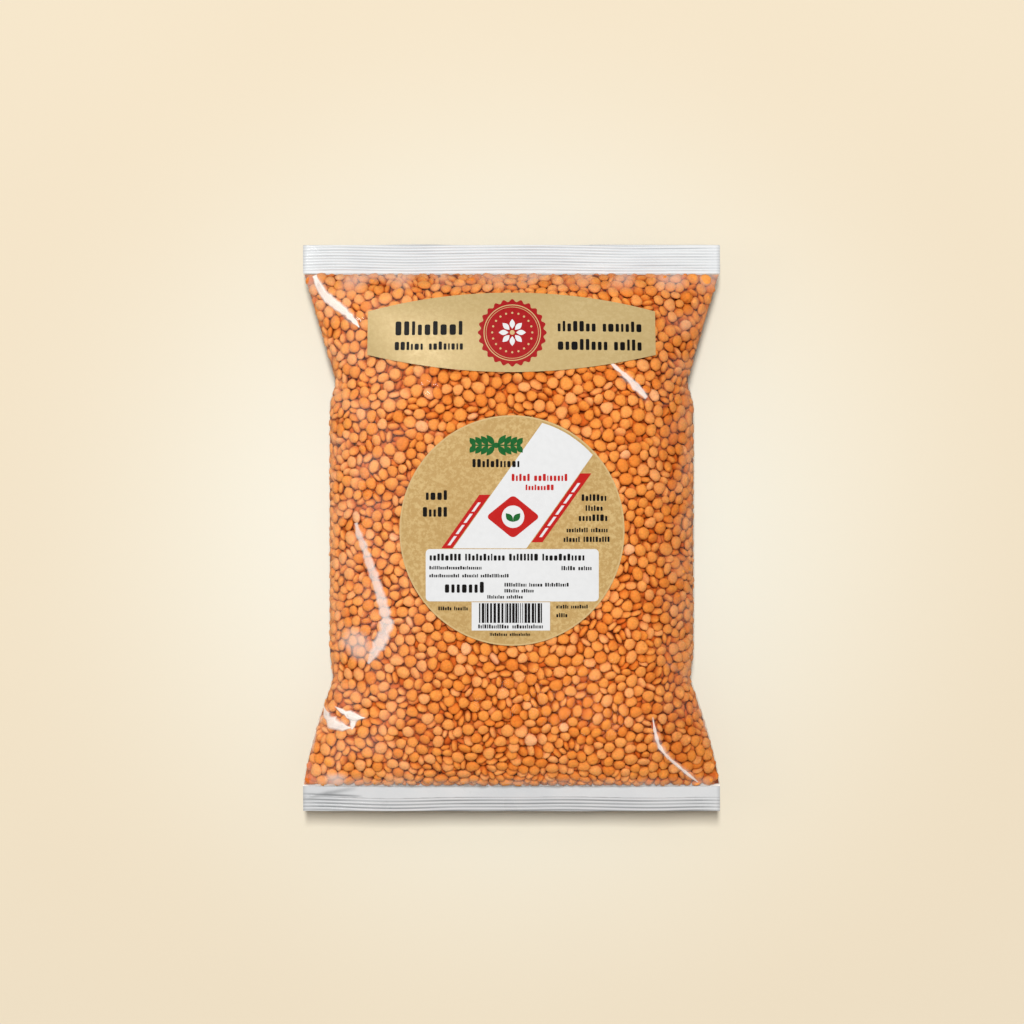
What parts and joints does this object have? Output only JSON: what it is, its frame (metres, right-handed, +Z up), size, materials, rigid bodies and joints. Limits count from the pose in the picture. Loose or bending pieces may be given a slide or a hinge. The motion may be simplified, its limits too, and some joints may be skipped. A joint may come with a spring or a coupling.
{
  "type": "bag of lentils",
  "caption": "Clear pillow bag full of split orange lentils, with ribbed white sealed ends, a gold banner sticker and a round gold sticker, lying on its back.",
  "frame": {"origin": "on the table under the middle of the bag, at the bottom centre of its box", "axes": "+X across the bag, +Y from its bottom seal to its top seal, +Z up and out of the printed face"},
  "size_m": [0.168, 0.228, 0.0522],
  "materials": {
    "lentils": "matt dry orange seeds seen through clear film",
    "clear_film": "clear glossy food film",
    "white_film": "white ribbed heat-sealed film, satin gloss",
    "gold_paper": "satin gold sticker paper",
    "white_print": "white print, satin",
    "red_print": "red print, satin",
    "green_print": "green print, satin",
    "black_print": "black print, satin"
  },
  "bodies": {
    "root": {"lentil_bag": "lentils", "banner_sticker": "gold_paper", "banner_badge": "red_print", "round_sticker": "gold_paper", "diagonal_band": "white_print", "left_stripe": "red_print", "right_stripe": "red_print", "info_panel": "white_print", "code_panel": "white_print"}
  },
  "joints": []
}
